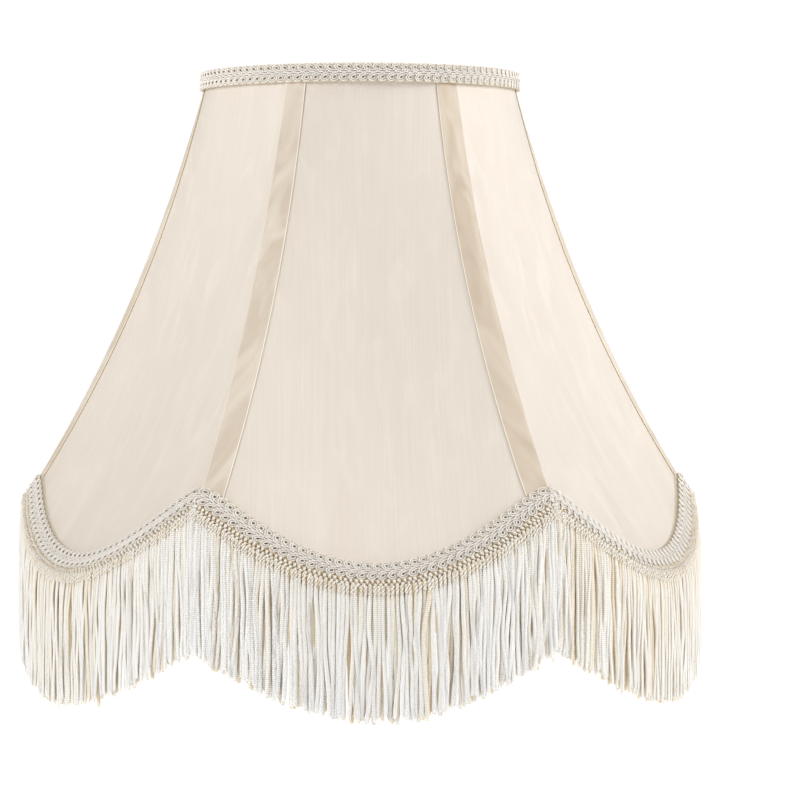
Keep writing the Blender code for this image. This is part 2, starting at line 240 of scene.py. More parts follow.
def surface_radius(azimuth, share):
    along = np.clip((share - FLAT_START) / (1 - FLAT_START), 0.0, 1.0)
    flatness = PANEL_FLATNESS * np.sin(math.pi * along**FLAT_SKEW)
    radius = rib_radius(share)
    # The cloth bends over a rib with a small radius, and not in a knife edge.
    soft = CREASE / radius
    inside = HALF_PANEL - np.abs(panel_angle(azimuth))
    inside = np.sqrt(inside**2 + soft**2) - soft
    return radius * (1 - flatness * (1 - math.cos(HALF_PANEL) / np.cos(HALF_PANEL - inside)))


def place(radius, azimuth, depth):
    x = radius * np.sin(azimuth)
    y = -radius * np.cos(azimuth)
    return np.stack(np.broadcast_arrays(x, y, FITTER_DROP - depth), -1)


def on_surface(azimuth, depth, offset=0.0):
    share = depth / hem_depth(azimuth)
    return place(surface_radius(azimuth, share) + offset / lean(share), azimuth, depth)


def smooth(x):
    x = np.clip(x, 0.0, 1.0)
    return x * x * (3 - 2 * x)


def unit(v):
    return v / np.maximum(np.linalg.norm(v, axis=-1, keepdims=True), 1e-12)


def run_along(points):
    """Distance along a line of points, from its first."""
    return np.concatenate([[0], np.cumsum(np.linalg.norm(np.diff(points, axis=0), axis=-1))])


# Meshes ---------------------------------------------------------------------------------------


def build(name, points, quads, tris=None, uv=None, tone=None, mark=None, material=None):
    """Mesh object from arrays: uv is one pair per corner, tone and mark one number per point."""
    tris = np.zeros((0, 3), int) if tris is None else tris
    mesh = bpy.data.meshes.new(name)
    mesh.vertices.add(len(points))
    mesh.vertices.foreach_set("co", np.asarray(points, np.float32).ravel())
    corners = np.concatenate([quads.ravel(), tris.ravel()]).astype(np.int32)
    mesh.loops.add(len(corners))
    mesh.loops.foreach_set("vertex_index", corners)
    starts = np.concatenate([np.arange(len(quads)) * 4, len(quads) * 4 + np.arange(len(tris)) * 3])
    mesh.polygons.add(len(starts))
    mesh.polygons.foreach_set("loop_start", starts.astype(np.int32))
    mesh.polygons.foreach_set("use_smooth", np.ones(len(starts), bool))
    if uv is not None:
        layer = mesh.uv_layers.new(name="thread")
        layer.uv.foreach_set("vector", np.asarray(uv, np.float32).ravel())
    for title, values in (("tone", tone), ("mark", mark)):
        if values is not None:
            attribute = mesh.attributes.new(title, "FLOAT", "POINT")
            attribute.data.foreach_set("value", np.asarray(values, np.float32).ravel())
    mesh.update(calc_edges=True)
    mesh.validate()
    mesh.materials.append(material)
    obj = bpy.data.objects.new(name, mesh)
    bpy.context.scene.collection.objects.link(obj)
    return obj


def grid_quads(rows, columns):
    index = np.arange(rows * columns).reshape(rows, columns)
    quads = np.stack([index[:-1, :-1], index[1:, :-1], index[1:, 1:], index[:-1, 1:]], -1)
    return quads.reshape(-1, 4)


def cloth(name, grid, flat, quads, material, thickness, offset, mark=None):
    """A sheet with a thickness from a grid of points. flat says where each lies on the cut cloth."""
    uv = flat.reshape(-1, 2)[quads].reshape(-1, 2)
    obj = build(name, grid.reshape(-1, 3), quads, uv=uv, mark=mark, material=material)
    shell = obj.modifiers.new("Cloth thickness", "SOLIDIFY")
    shell.thickness = thickness
    shell.offset = offset
    return obj


def cloth_area(grid):
    cells = np.cross(grid[1:, 1:] - grid[:-1, :-1], grid[1:, :-1] - grid[:-1, 1:])
    return float(np.linalg.norm(cells, axis=-1).sum() / 2)


def tubes(paths, outward, wide, high, sides, tone, flank_shade, left=1.0):
    """Yarns with pointed ends along n paths of m points, as the arrays that build() takes.

    wide and high are half widths. flank_shade is what the flanks lose in tone, painted shade on the
    yarn's sides, and left is the share of it that the left flank loses.
    """
    n, m, _ = paths.shape
    heading = unit(np.gradient(paths, axis=1))
    across = unit(np.cross(outward, heading))
    up = np.cross(heading, across)
    turn = np.arange(sides) * math.tau / sides
    wide = np.broadcast_to(wide, (n, m))[..., None, None]
    high = np.broadcast_to(high, (n, m))[..., None, None]
    ring = np.cos(turn)[:, None] * across[:, :, None] * wide + np.sin(turn)[:, None] * up[:, :, None] * high
    ring = (paths[:, :, None] + ring).reshape(-1, 3)
    overhang = heading[:, [0, -1]] * wide[:, [0, -1], 0] * TIP_LENGTH
    tips = paths[:, [0, -1]] + overhang * np.array([-1.0, 1.0])[:, None]

    index = np.arange(n * m * sides).reshape(n, m, sides)
    after = np.roll(index, -1, 2)
    quads = np.stack([index[:, :-1], after[:, :-1], after[:, 1:], index[:, 1:]], -1)
    tip = n * m * sides + np.arange(n * 2).reshape(n, 2)
    first = np.stack([after[:, 0], index[:, 0], np.broadcast_to(tip[:, :1], (n, sides))], -1)
    last = np.stack([index[:, -1], after[:, -1], np.broadcast_to(tip[:, 1:], (n, sides))], -1)

    step = np.linalg.norm(np.diff(paths, axis=1), axis=-1)
    along = np.concatenate([np.zeros((n, 1)), np.cumsum(step, 1)], 1)
    near = np.arange(sides) / sides
    far = near + 1 / sides
    u = np.stack([near, far, far, near], -1)[None, None]
    v = np.stack([along[:, :-1], along[:, :-1], along[:, 1:], along[:, 1:]], -1)[:, :, None]
    end = np.repeat(np.concatenate([along[:, 0], along[:, -1]]), sides * 3)

    tone = np.broadcast_to(np.asarray(tone, float), (n, m))
    # Painted shade: the flanks of each yarn are darker.
    shade = flank_shade * np.cos(turn) ** 2 * np.where(np.cos(turn) < 0, left, 1.0)
    return {
        "points": np.concatenate([ring, tips.reshape(-1, 3)]),
        "quads": quads.reshape(-1, 4),
        "tris": np.concatenate([first.reshape(-1, 3), last.reshape(-1, 3)]),
        "uv": np.stack(np.broadcast_arrays(u, v), -1).reshape(-1, 2),
        "end_uv": np.stack([np.zeros_like(end), end], -1),
        "tone": np.concatenate([(tone[..., None] - shade).reshape(-1), tone[:, [0, -1]].reshape(-1)]),
    }


def strip(points, tone):
    """A flat band from a grid of points, as the same arrays."""
    rows, columns, _ = points.shape
    quads = grid_quads(rows, columns)
    across = run_along(points[:, columns // 2])
    along = run_along(points[rows // 2])
    return {
        "points": points.reshape(-1, 3),
        "quads": quads,
        "tris": np.zeros((0, 3), int),
        "uv": np.stack(np.meshgrid(along, across), -1).reshape(-1, 2)[quads].reshape(-1, 2),
        "end_uv": np.zeros((0, 2)),
        "tone": np.broadcast_to(tone, (rows, columns)).reshape(-1).astype(float),
    }


def join(parts):
    """Arrays of several yarns and strips as one. The corners of the triangles come last."""
    firsts = np.cumsum([0] + [len(part["points"]) for part in parts[:-1]])
    return {
        "points": np.concatenate([part["points"] for part in parts]),
        "quads": np.concatenate([part["quads"] + first for part, first in zip(parts, firsts)]),
        "tris": np.concatenate([part["tris"] + first for part, first in zip(parts, firsts)]),
        "uv": np.concatenate([part["uv"] for part in parts] + [part["end_uv"] for part in parts]),
        "tone": np.concatenate([part["tone"] for part in parts]),
    }


# Materials ------------------------------------------------------------------------------------


class Look:
    """A Principled material with its nodes."""

    def __init__(self, name, roughness, specular, sheen=0.0, sheen_roughness=0.4):
        self.material = bpy.data.materials.new(name)
        self.material.use_nodes = True
        self.tree = self.material.node_tree
        self.shader = self.tree.nodes["Principled BSDF"]
        for socket, value in (
            ("Roughness", roughness),
            ("Specular IOR Level", specular),
            ("Sheen Weight", sheen),
            ("Sheen Roughness", sheen_roughness),
        ):
            self.shader.inputs[socket].default_value = value
        self.bump = None

    def node(self, kind, *inputs, **settings):
        node = self.tree.nodes.new("ShaderNode" + kind)
        for key, value in settings.items():
            setattr(node, key, value)
        for index, value in enumerate(inputs):
            self.feed(node.inputs[index], value)
        return node

    def feed(self, socket, value):
        """Link a node or one of its outputs to a socket, or set the socket to a value."""
        if value is None:
            return
        if hasattr(value, "bl_idname") and value.bl_idname.startswith("NodeSocket"):
            self.tree.links.new(value, socket)
        elif hasattr(value, "outputs"):
            self.tree.links.new(value.outputs[0], socket)
        else:
            socket.default_value = value

    def math(self, operation, a, b=None):
        return self.node("Math", a, b, operation=operation)

    def wave(self, value, rate):
        return self.math("SINE", self.math("MULTIPLY", value, rate))

    def uv(self):
        return self.node("UVMap", uv_map="thread")

    def attribute(self, name):
        return self.node("Attribute", attribute_name=name).outputs["Fac"]

    def noise(self, vector, scale, detail=2.0, distortion=0.0):
        node = self.node("TexNoise")
        self.feed(node.inputs["Vector"], vector)
        node.inputs["Scale"].default_value = scale
        node.inputs["Detail"].default_value = detail
        node.inputs["Distortion"].default_value = distortion
        return node.outputs["Fac"]

    def grain(self, uv, across, along, detail=2.0, distortion=0.0):
        """Noise on cloth, with this many grains to the metre across and along the thread."""
        mapping = self.node("Mapping", uv)
        mapping.inputs["Scale"].default_value = (across, along, 1.0)
        return self.noise(mapping, 1.0, detail, distortion)

    def ramp(self, value, *stops):
        node = self.node("ValToRGB", value)
        while len(node.color_ramp.elements) < len(stops):
            node.color_ramp.elements.new(0.5)
        for element, (position, colour) in zip(node.color_ramp.elements, stops):
            element.position = position
            element.color = (*colour, 1.0)
        return node

    def fade(self, value, start, end, low=0.0, high=1.0):
        """From low to high while the value goes from start to end."""
        return self.ramp(value, (start, (low,) * 3), (end, (high,) * 3))

    def mix(self, factor, a, b, blend="MIX"):
        node = self.node("Mix", data_type="RGBA", blend_type=blend)
        self.feed(node.inputs["Factor"], factor)
        for key, value in (("A", a), ("B", b)):
            socket = [s for s in node.inputs if s.name == key and s.type == "RGBA"][0]
            self.feed(socket, (*value, 1.0) if isinstance(value, tuple) else value)
        return [s for s in node.outputs if s.type == "RGBA"][0]

    def colour(self, value):
        self.feed(self.shader.inputs["Base Color"], value)

    def add_bump(self, height, distance):
        node = self.node("Bump")
        node.inputs["Strength"].default_value = 1.0
        node.inputs["Distance"].default_value = distance
        self.feed(node.inputs["Height"], height)
        if self.bump is not None:
            self.feed(node.inputs["Normal"], self.bump.outputs["Normal"])
        self.feed(self.shader.inputs["Normal"], node.outputs["Normal"])
        self.bump = node


def srgb(*rgb):
    return tuple((c / 255 / 12.92) if c <= 10 else ((c / 255 + 0.055) / 1.055) ** 2.4 for c in rgb)


def cover_look():
    """Slubbed satin: threads run down each panel, with a faint watered figure whose lighter patches are
    partly painted sheen.
    """
    look = Look("cover_cloth", roughness=0.5, specular=0.45, sheen=0.2, sheen_roughness=0.35)
    uv = look.uv()
    warp = look.grain(uv, 2600.0, 60.0)
    slub = look.grain(uv, 900.0, 14.0, 3.0)
    mottle_and_sheen = look.grain(uv, 90.0, 30.0, 3.0, 1.2)
    broad = look.grain(uv, 26.0, 9.0, 2.0, 0.8)
    base = look.mix(look.fade(slub, 0.35, 0.72), srgb(227, 217, 205), srgb(232, 222, 210))
    base = look.mix(look.fade(broad, 0.35, 0.70, high=0.70), base, srgb(223, 212, 198))
    # Lighter watered patches: the silk's figure, partly painted sheen.
    base = look.mix(look.fade(mottle_and_sheen, 0.50, 0.78, high=0.40), base, srgb(239, 231, 220))
    # The laps' double cloth, painted darker as shade, more at the front right seam and most where it lies
    # past the rib; its lighter mottle is partly painted sheen.
    mark = look.attribute("mark")
    lap = look.mix(look.fade(mottle_and_sheen, 0.35, 0.65), srgb(212, 197, 178), srgb(227, 215, 199))
    painted_seam_shade = look.mix(look.fade(mark, 0.257, 0.272), (0.86, 0.83, 0.79), (0.94, 0.91, 0.875))
    lap = look.mix(look.fade(mark, 0.32, 0.36), look.mix(1.0, lap, painted_seam_shade, "MULTIPLY"), lap)
    base = look.mix(look.fade(mark, 0.20, 0.24), base, lap)
    # Painted highlights along a lap's edges, and the painted shadow line of its folded edge.
    base = look.mix(look.fade(mark, 0.55, 0.62), base, srgb(243, 235, 222))
    # Painted shadow along the folded edge, for the front laps and then the side laps.
    base = look.mix(look.fade(mark, 0.76, 0.82), base, srgb(196, 180, 150))
    base = look.mix(look.fade(mark, 0.92, 0.97), base, srgb(214, 188, 142))
    look.colour(base)
    look.feed(look.shader.inputs["Roughness"], look.fade(mottle_and_sheen, 0.35, 0.68, 0.38, 0.52))
    weft = look.math("MULTIPLY", look.wave(look.node("SeparateXYZ", uv).outputs[1], 16000.0), 0.4)
    look.add_bump(look.math("ADD", warp, weft), 0.00003)
    look.add_bump(slub, 0.00006)
    look.add_bump(broad, 0.0006)
    return look.material


def lining_look():
    look = Look("lining_cloth", roughness=0.55, specular=0.3, sheen=0.2)
    uv = look.uv()
    fine = look.grain(uv, 1800.0, 120.0)
    broad = look.grain(uv, 30.0, 8.0)
    look.colour(look.mix(broad, srgb(240, 236, 228), srgb(232, 226, 215)))
    look.add_bump(fine, 0.00004)
    look.add_bump(broad, 0.0010)
    return look.material


def tape_look():
    look = Look("binding_tape", roughness=0.8, specular=0.2, sheen=0.15)
    uv = look.uv()
    across, along = look.node("SeparateXYZ", uv).outputs[:2]
    weave = look.math("MULTIPLY", look.wave(across, 9000.0), look.wave(along, 9000.0))
    look.colour(look.mix(look.grain(uv, 700.0, 700.0), srgb(222, 206, 176), srgb(236, 224, 200)))
    look.add_bump(weave, 0.00008)
    return look.material


def yarn_look(name, stops, chained, pitch, depth, groove_shade, glow):
    """Twisted or chained yarn: tone picks the colour, the ridges follow the yarn, and their grooves are
    painted darker as shade.
    """
    look = Look(name, roughness=0.45, specular=0.4, sheen=0.2)
    look.shader.inputs["Subsurface Weight"].default_value = glow
    look.shader.inputs["Subsurface Radius"].default_value = (1.0, 0.95, 0.85)
    look.shader.inputs["Subsurface Scale"].default_value = 0.0008
    tone = look.attribute("tone")
    around, along = look.node("SeparateXYZ", look.uv()).outputs[:2]
    lift = look.math("MULTIPLY", around, math.tau)
    if chained:
        lift = look.math("MULTIPLY", look.math("ABSOLUTE", look.math("SINE", lift)), 1.6)
    ridge = look.math("SINE", look.math("ADD", look.math("MULTIPLY", along, math.tau / pitch), lift))
    fuzz = look.noise(look.node("TexCoord").outputs["Object"], 900.0)
    value = look.math("ADD", tone, look.math("MULTIPLY", look.math("SUBTRACT", fuzz, 0.5), 0.5))
    # Painted shade in the grooves between the ridges.
    value = look.math("ADD", value, look.math("MULTIPLY", ridge, groove_shade))
    look.colour(look.ramp(value, *stops))
    look.add_bump(ridge, depth)
    return look.material


def paint_look():
    look = Look("white_paint", roughness=0.32, specular=0.5)
    noise = look.noise(look.node("TexCoord").outputs["Object"], 350.0, 3.0)
    look.colour(look.mix(noise, srgb(238, 238, 240), srgb(229, 229, 232)))
    look.add_bump(noise, 0.00005)
    look.shader.inputs["Coat Weight"].default_value = 0.2
    return look.material


COVER = cover_look()
LINING = lining_look()
TAPE = tape_look()
PAINT = paint_look()
GIMP = yarn_look(
    "gimp_braid",
    (
        (0.05, srgb(140, 122, 90)), (0.35, srgb(206, 192, 166)),
        (0.62, srgb(240, 232, 219)), (1.0, srgb(254, 249, 242)),
    ),
    chained=False, pitch=0.0006, depth=0.00003, groove_shade=0.08, glow=0.1,
)
CORD = yarn_look(
    "fringe_cord",
    (
        (0.05, srgb(228, 196, 140)), (0.35, srgb(240, 222, 190)),
        (0.62, srgb(247, 238, 223)), (1.0, srgb(255, 253, 250)),
    ),
    chained=True, pitch=0.00088, depth=0.00012, groove_shade=0.20, glow=0.3,
)

# Cover and lining -----------------------------------------------------------------------------


def slant(depths):
    """Distance down the cloth to each depth, along a rib."""
    fine = np.linspace(0, 0.3, 1501)
    middles = (fine[1:] + fine[:-1]) / 2
    down = np.concatenate([[0], np.cumsum(np.diff(fine) / lean(middles / CUSP_DEPTH))])
    return np.interp(depths, fine, down)


def lap_width(index, side):
    """How far a panel laps over its neighbour on the left (-1) or the right (1)."""
    return LAPS.get(index, (0, 0))[side > 0]


def seam_shift(index, shares):
    """Share of the left lap's width that is kept at each height, and the double cloth past the rib."""
    if index != SHIFTED_SEAM:
        return np.ones_like(shares), np.zeros_like(shares)
    return SHIFT_KEPT + (1 - SHIFT_KEPT) * shares**SHIFT_POWER, SHIFT_PAST * (1 - shares) ** SHIFT_POWER


def margin(side, lap, band, crease):
    """Columns past one rib: distance along the cloth, lift, and the mark that the material reads."""
    if not lap:
        return []
    # The fold's dark line is painted shadow.
    line = MARK_SIDE_FOLD_SHADOW if lap < FRONT_LAP else MARK_FRONT_FOLD_SHADOW
    columns = []
    for d in LAP_COLUMNS * lap:
        # Painted highlights: pale lines at a lap's folded edge and over the rib's crease.
        highlit = d > lap - HIGHLIGHT_WIDTH or (crease and d < HIGHLIGHT_WIDTH)
        columns.append((side * d, LAP_LIFT, MARK_HIGHLIGHT if highlit else band))
    for turn in FOLD_TURNS:
        columns.append((side * (lap + FOLD * math.sin(turn)), LAP_LIFT - FOLD * (1 - math.cos(turn)), line))
    for back in FOLD_RETURN:
        mark = line if back == FOLD_RETURN[0] else band
        columns.append((side * (lap - back), LAP_LIFT - 2 * FOLD, mark))
    return columns


def make_cover(index):
    """One panel with its laps. Between the ribs, a column's lift and mark change with the height."""
    middle = index * PANEL_ANGLE
    t = np.linspace(-1, 1, COVER_STEPS + 1)
    inner = HALF_PANEL * np.sign(t) * (1 - (1 - np.abs(t)) ** EDGE_CROWDING)
    shifted = index == SHIFTED_SEAM
    band = MARK_RIGHT_BAND if shifted else MARK_BAND
    left = margin(-1, lap_width(index, -1), band, not shifted)
    right = margin(1, lap_width(index, 1), band, True)
    columns = [(middle - HALF_PANEL, *column) for column in reversed(left)]
    columns += [(middle + angle, 0.0, None, None) for angle in inner]
    columns += [(middle + HALF_PANEL, *column) for column in right]

    shares = COVER_ROWS
    radius = rib_radius(shares)
    kept, past = seam_shift(index, shares)
    grid = np.zeros((len(shares), len(columns), 3))
    flat = np.zeros((len(shares), len(columns), 2))
    mark = np.zeros((len(shares), len(columns)))
    for j, (azimuth, along, lift, sign) in enumerate(columns):
        angle = azimuth + along * (kept if azimuth < middle else 1.0) / radius
        if lift is None:
            ramp = np.zeros_like(shares)
            for side in (-1, 1):
                if lap_width(index, side):
                    gap = (HALF_PANEL - side * (angle - middle)) * radius
                    ramp = np.maximum(ramp, 1 - smooth((gap - LAP_RAMP_START) / LAP_RAMP))
            lift = LAP_LIFT * ramp
            beyond = past - (angle - middle + HALF_PANEL) * radius
            sign = np.clip(MARK_NEAR_BAND + MARK_SLOPE * beyond, 0.0, MARK_PAST) * (past > 0)
        depth = shares * hem_depth(angle)
        grid[:, j] = on_surface(angle, depth, lift + COVER_OFFSET)
        flat[:, j, 0] = (angle - middle) * radius
        flat[:, j, 1] = slant(depth)
        mark[:, j] = sign
    quads = grid_quads(len(shares), len(columns))
    obj = cloth(f"panel_cover_{NAMES[index]}", grid, flat, quads, COVER, COVER_THICKNESS, -1.0, mark)
    return obj, cloth_area(grid)


def make_lining(index):
    middle = index * PANEL_ANGLE
    angles = middle + np.linspace(-HALF_PANEL, HALF_PANEL, LINING_COLUMNS)
    rows = [on_surface(angles, share * hem_depth(angles), LINING_OFFSET) for share in LINING_ROWS]
    rows += [on_surface(angles, hem_depth(angles) + down, offset) for down, offset, _ in LINING_ROLL]
    depths = np.concatenate([LINING_ROWS * CUSP_DEPTH, [CUSP_DEPTH + way for _, _, way in LINING_ROLL]])
    arcs = (angles - middle)[None] * rib_radius(depths / CUSP_DEPTH)[:, None]
    flat = np.stack(np.broadcast_arrays(arcs, slant(depths)[:, None]), -1)
    grid = np.stack(rows)
    quads = grid_quads(len(rows), len(angles))[:, ::-1]
    obj = cloth(f"panel_lining_{NAMES[index]}", grid, flat, quads, LINING, LINING_THICKNESS, -1.0)
    return obj, cloth_area(grid)


# Trim -----------------------------------------------------------------------------------------


class HemLine:
    """The gimp's centre line along one scallop, and places measured from it along the cloth."""

    def __init__(self, index):
        middle = index * PANEL_ANGLE
        self.azimuth = middle + np.linspace(-LINE_OVERRUN, LINE_OVERRUN, 897) * HALF_PANEL
        share = np.abs(panel_angle(self.azimuth)) / HALF_PANEL
        wave = np.sqrt(np.cos(math.pi / 2 * share) ** 2 + CUSP_ROUND**2) - CUSP_ROUND
        wave = wave / (math.sqrt(1 + CUSP_ROUND**2) - CUSP_ROUND)
        self.depth = CUSP_DEPTH - GIMP_RISE + SCALLOP_DROP * wave
        self.along = run_along(on_surface(self.azimuth, self.depth, GIMP_OFFSET))
        ends = np.interp([middle - HALF_PANEL, middle + HALF_PANEL], self.azimuth, self.along)
        self.along = self.along - ends[0]
        self.length = ends[1] - ends[0]
        level = HEM_RADIUS * np.gradient(self.azimuth, self.along)
        down = np.gradient(self.depth, self.along) / lean(1.0)
        size = np.hypot(level, down)
        self.level, self.down = level / size, down / size

    def __call__(self, s, v, h):
        """Points at s along the line, v below it and h out from the gimp's seat."""
        azimuth = np.interp(s, self.along, self.azimuth)
        depth = np.interp(s, self.along, self.depth)
        level = np.interp(s, self.along, self.level)
        down = np.interp(s, self.along, self.down)
        azimuth = azimuth - v * down / HEM_RADIUS
        depth = depth + v * level * lean(1.0)
        return on_surface(azimuth, depth, GIMP_OFFSET + h)


class TopLine:
    """The same for the gimp round the top."""

    length = math.tau * TOP_GIMP_RADIUS

    def __call__(self, s, v, h):
        radius = TOP_GIMP_RADIUS + TOP_GIMP_FLARE * (v + TOP_GIMP_HALF) / (2 * TOP_GIMP_HALF)
        return place(radius + h, math.pi + s / TOP_GIMP_RADIUS, TOP_GIMP_DEPTH + v)


def outwards(points):
    """Outward direction at points on the bell, leaning up along the hem as the cloth does."""
    out = unit(points * np.array([1.0, 1.0, 0.0]))
    out[..., 2] = np.where(points[..., 2] < HEM_LEAN_BELOW, HEM_LEAN, 0.0)
    return unit(out)


def make_gimp(name, line, sides, steps):
    """Scroll gimp: two bundles of yarns wind into rows of rings that meet in the middle."""
    periods = round(line.length / GIMP_PITCH)
    pitch = line.length / periods
    t = np.linspace(0, math.tau * periods, periods * steps + 1)
    ds = pitch / math.tau + GIMP_SWING * np.cos(t) - GIMP_SKEW * np.sin(t)
    dv = GIMP_HALF * np.sin(t)
    size = np.hypot(ds, dv)
    v = GIMP_RING - GIMP_HALF * np.cos(t)
    # Painted shade: each yarn is darker where it dips under the crossing.
    tone = GIMP_TONES[:, None] - GIMP_DIP_SHADE * np.sin(t)[None]
    parts = []
    for row in (-1, 1):
        lower = row > 0
        s = pitch * (t / math.tau - 0.5 * lower) + GIMP_SWING * np.sin(t) + GIMP_SKEW * np.cos(t)
        out = GIMP_HEIGHT - GIMP_CROSSING * np.sin(t) + GIMP_ROW_LIFT * lower
        paths = np.stack([line(s - q * dv / size, row * (v + q * ds / size), out) for q in GIMP_BUNDLE])
        high = GIMP_YARN * GIMP_YARN_HEIGHT
        parts.append(tubes(paths, outwards(paths), GIMP_YARN, high, sides, tone, GIMP_FLANK_SHADE))
    # The dark core strip under the yarns: painted shade.
    core = np.concatenate([GIMP_SHADOW_CORE * (-1, 1, 1), GIMP_SHADOW_CORE[::-1]])[..., None]
    s = np.linspace(0, line.length, periods * 4 + 1)
    parts.append(strip(line(s[None], core[:, 0], core[:, 1]), core[:, 2]))
    return build(name, **join(parts), material=GIMP)


def make_heading(index, line):
    """Tape with two rows of knots and the threads between them."""
    s = np.linspace(0, line.length, 241)
    tape = HEADING_TAPE[..., None]
    parts = [strip(line(s[None], tape[:, 0], tape[:, 1]), HEADING_TONE)]
    count = round(line.length / KNOT_PITCH)
    k = np.linspace(-1, 1, len(KNOT_PROFILE))[None]
    for centre, slope, shift in KNOT_ROWS:
        where = (np.arange(count) + 0.5 + shift) / count * line.length + rng.normal(0, 0.0001, count)
        down = centre + KNOT_HALF * k + rng.normal(0, 0.00012, count)[:, None]
        path = line(where[:, None] + slope * k, down, KNOT_HEIGHT)
        size = KNOT_WIDTH * KNOT_PROFILE[None] * rng.uniform(0.88, 1.1, count)[:, None]
        tone = rng.uniform(0.74, 0.98, count)[:, None]
        parts.append(tubes(path, outwards(path), size, size * 0.9, KNOT_SIDES, tone, KNOT_FLANK_SHADE))
    s = np.linspace(0, line.length, 900)
    wave = THREAD_WAVE * np.sin(math.tau * count * s / line.length)
    for centre in THREAD_ROWS:
        path = line(s, centre + wave, THREAD_HEIGHT + wave)[None]
        parts.append(tubes(path, outwards(path), THREAD_YARN, THREAD_YARN, 5, THREAD_TONE, THREAD_FLANK_SHADE))
    return build(f"knotted_heading_{NAMES[index]}", **join(parts), material=CORD)


def cord_layer(index, line, layer, phases):
    """One layer of a scallop's cords, and the twisted necks of the outer one's."""
    hang, shift, tone, share = CORD_LAYERS[layer]
    count = round(line.length / CORD_PITCH * share)

    def spread(size):
        return rng.normal(0, size, count)[:, None]

    def between(low, high):
        return rng.uniform(low, high, count)[:, None]

    # Where each cord leaves the heading, and how far down it ends.
    s = (np.arange(count) + 0.5 * shift + 0.25)[:, None] / count * line.length + spread(0.0002)
    top = line(s, CORD_START, CORD_HEIGHT * (1 - layer))
    azimuth = np.arctan2(top[..., 0], -top[..., 1])
    radius = np.hypot(top[..., 0], top[..., 1])
    start = FITTER_DROP - top[..., 2]
    local = (azimuth - index * PANEL_ANGLE + math.pi) % math.tau - math.pi
    drop = FRINGE_DROP * np.cos(math.pi / 2 * np.clip(np.abs(local) / HALF_PANEL, 0, 1))
    length = CUSP_DEPTH + FRINGE_CUSP_LENGTH + drop + CORD_CUT + spread(0.0010) - start

    # Its way down: out to the layer's radius, and sideways in bunches and waves.
    k = np.linspace(0, 1, CORD_STEPS)[None]
    out = hang + spread(0.00014)
    out = radius + (out - radius) * (1 - np.exp(-k / CORD_FALL)) / (1 - math.exp(-1 / CORD_FALL))
    side = 0.0
    for (height, way), phase in zip(CORD_CLUMPS, phases):
        side = side + height * np.sin(s * math.tau / way + phase) * k**1.3
    side = side + spread(CORD_DRIFT) * k**1.6
    for height, fewest, most in CORD_WAVES:
        beat = between(fewest, most)
        phase = between(0, math.tau)
        swing = np.sin(math.tau * beat * k + phase) - np.sin(phase)
        side = side + spread(height) * swing * smooth(k * 3)
    out = out + spread(CORD_SWAY) * np.sin(math.tau * k * between(0.6, 1.8))
    out = np.minimum(out, CORD_LIMIT)
    path = place(out, azimuth + side / out, start + length * k)

    # Its width, narrow at the neck and at the cut end, and its colour: painted shade under the heading and
    # painted light, whiter towards the end.
    filled = smooth((k - 0.02) / 0.10)
    width = between(*CORD_HALF_WIDTHS) * (CORD_NECK_WIDTH + (1 - CORD_NECK_WIDTH) * filled)
    width = width * np.where(k > 0.985, CORD_TIP_WIDTH, 1.0)
    tone = tone - DARKER_SCALLOP_CORDS.get(index, 0.0) + spread(0.05)
    tone = tone - GOLDEN_TONE * (between(0, 1) < GOLDEN_CORDS)
    tone = tone - CORD_TOP_SHADE * (1 - smooth(k / 0.14)) + CORD_FOOT_LIGHT * k
    outward = place(1.0, azimuth + 0 * k, FITTER_DROP)
    high = width * CORD_FLATNESS
    parts = [tubes(path, outward, width, high, CORD_SIDES, tone, CORD_FLANK_SHADE, CORD_LEFT_FLANK_SHADE)]
    if layer > 0:
        return parts

    q = np.linspace(0, 1, 12)[None]
    bow = radius + (hang - radius) * (1 - np.exp(-NECK_SHARE * q / CORD_FALL)) + NECK_LIFT
    turn = math.tau * q + between(0, math.tau)
    outward = place(1.0, azimuth + 0 * q, FITTER_DROP)
    for half in (0.0, math.pi):
        swing = NECK_SWING * np.cos(turn + half)
        lift = NECK_SWING * np.sin(turn + half)
        strand = place(bow + lift, azimuth + swing / bow, start + length * NECK_SHARE * q)
        tone = NECK_TONE + spread(0.06)
        parts.append(tubes(strand, outward, NECK_YARN, NECK_YARN, NECK_SIDES, tone, NECK_FLANK_SHADE))
    return parts


def make_fringe(index, line):
    """Hanging cords of one scallop, in layers."""
    phases = rng.uniform(0, math.tau, 6)
    parts = []
    for layer in range(len(CORD_LAYERS)):
        parts += cord_layer(index, line, layer, phases)
    return build(f"cord_fringe_{NAMES[index]}", **join(parts), material=CORD)


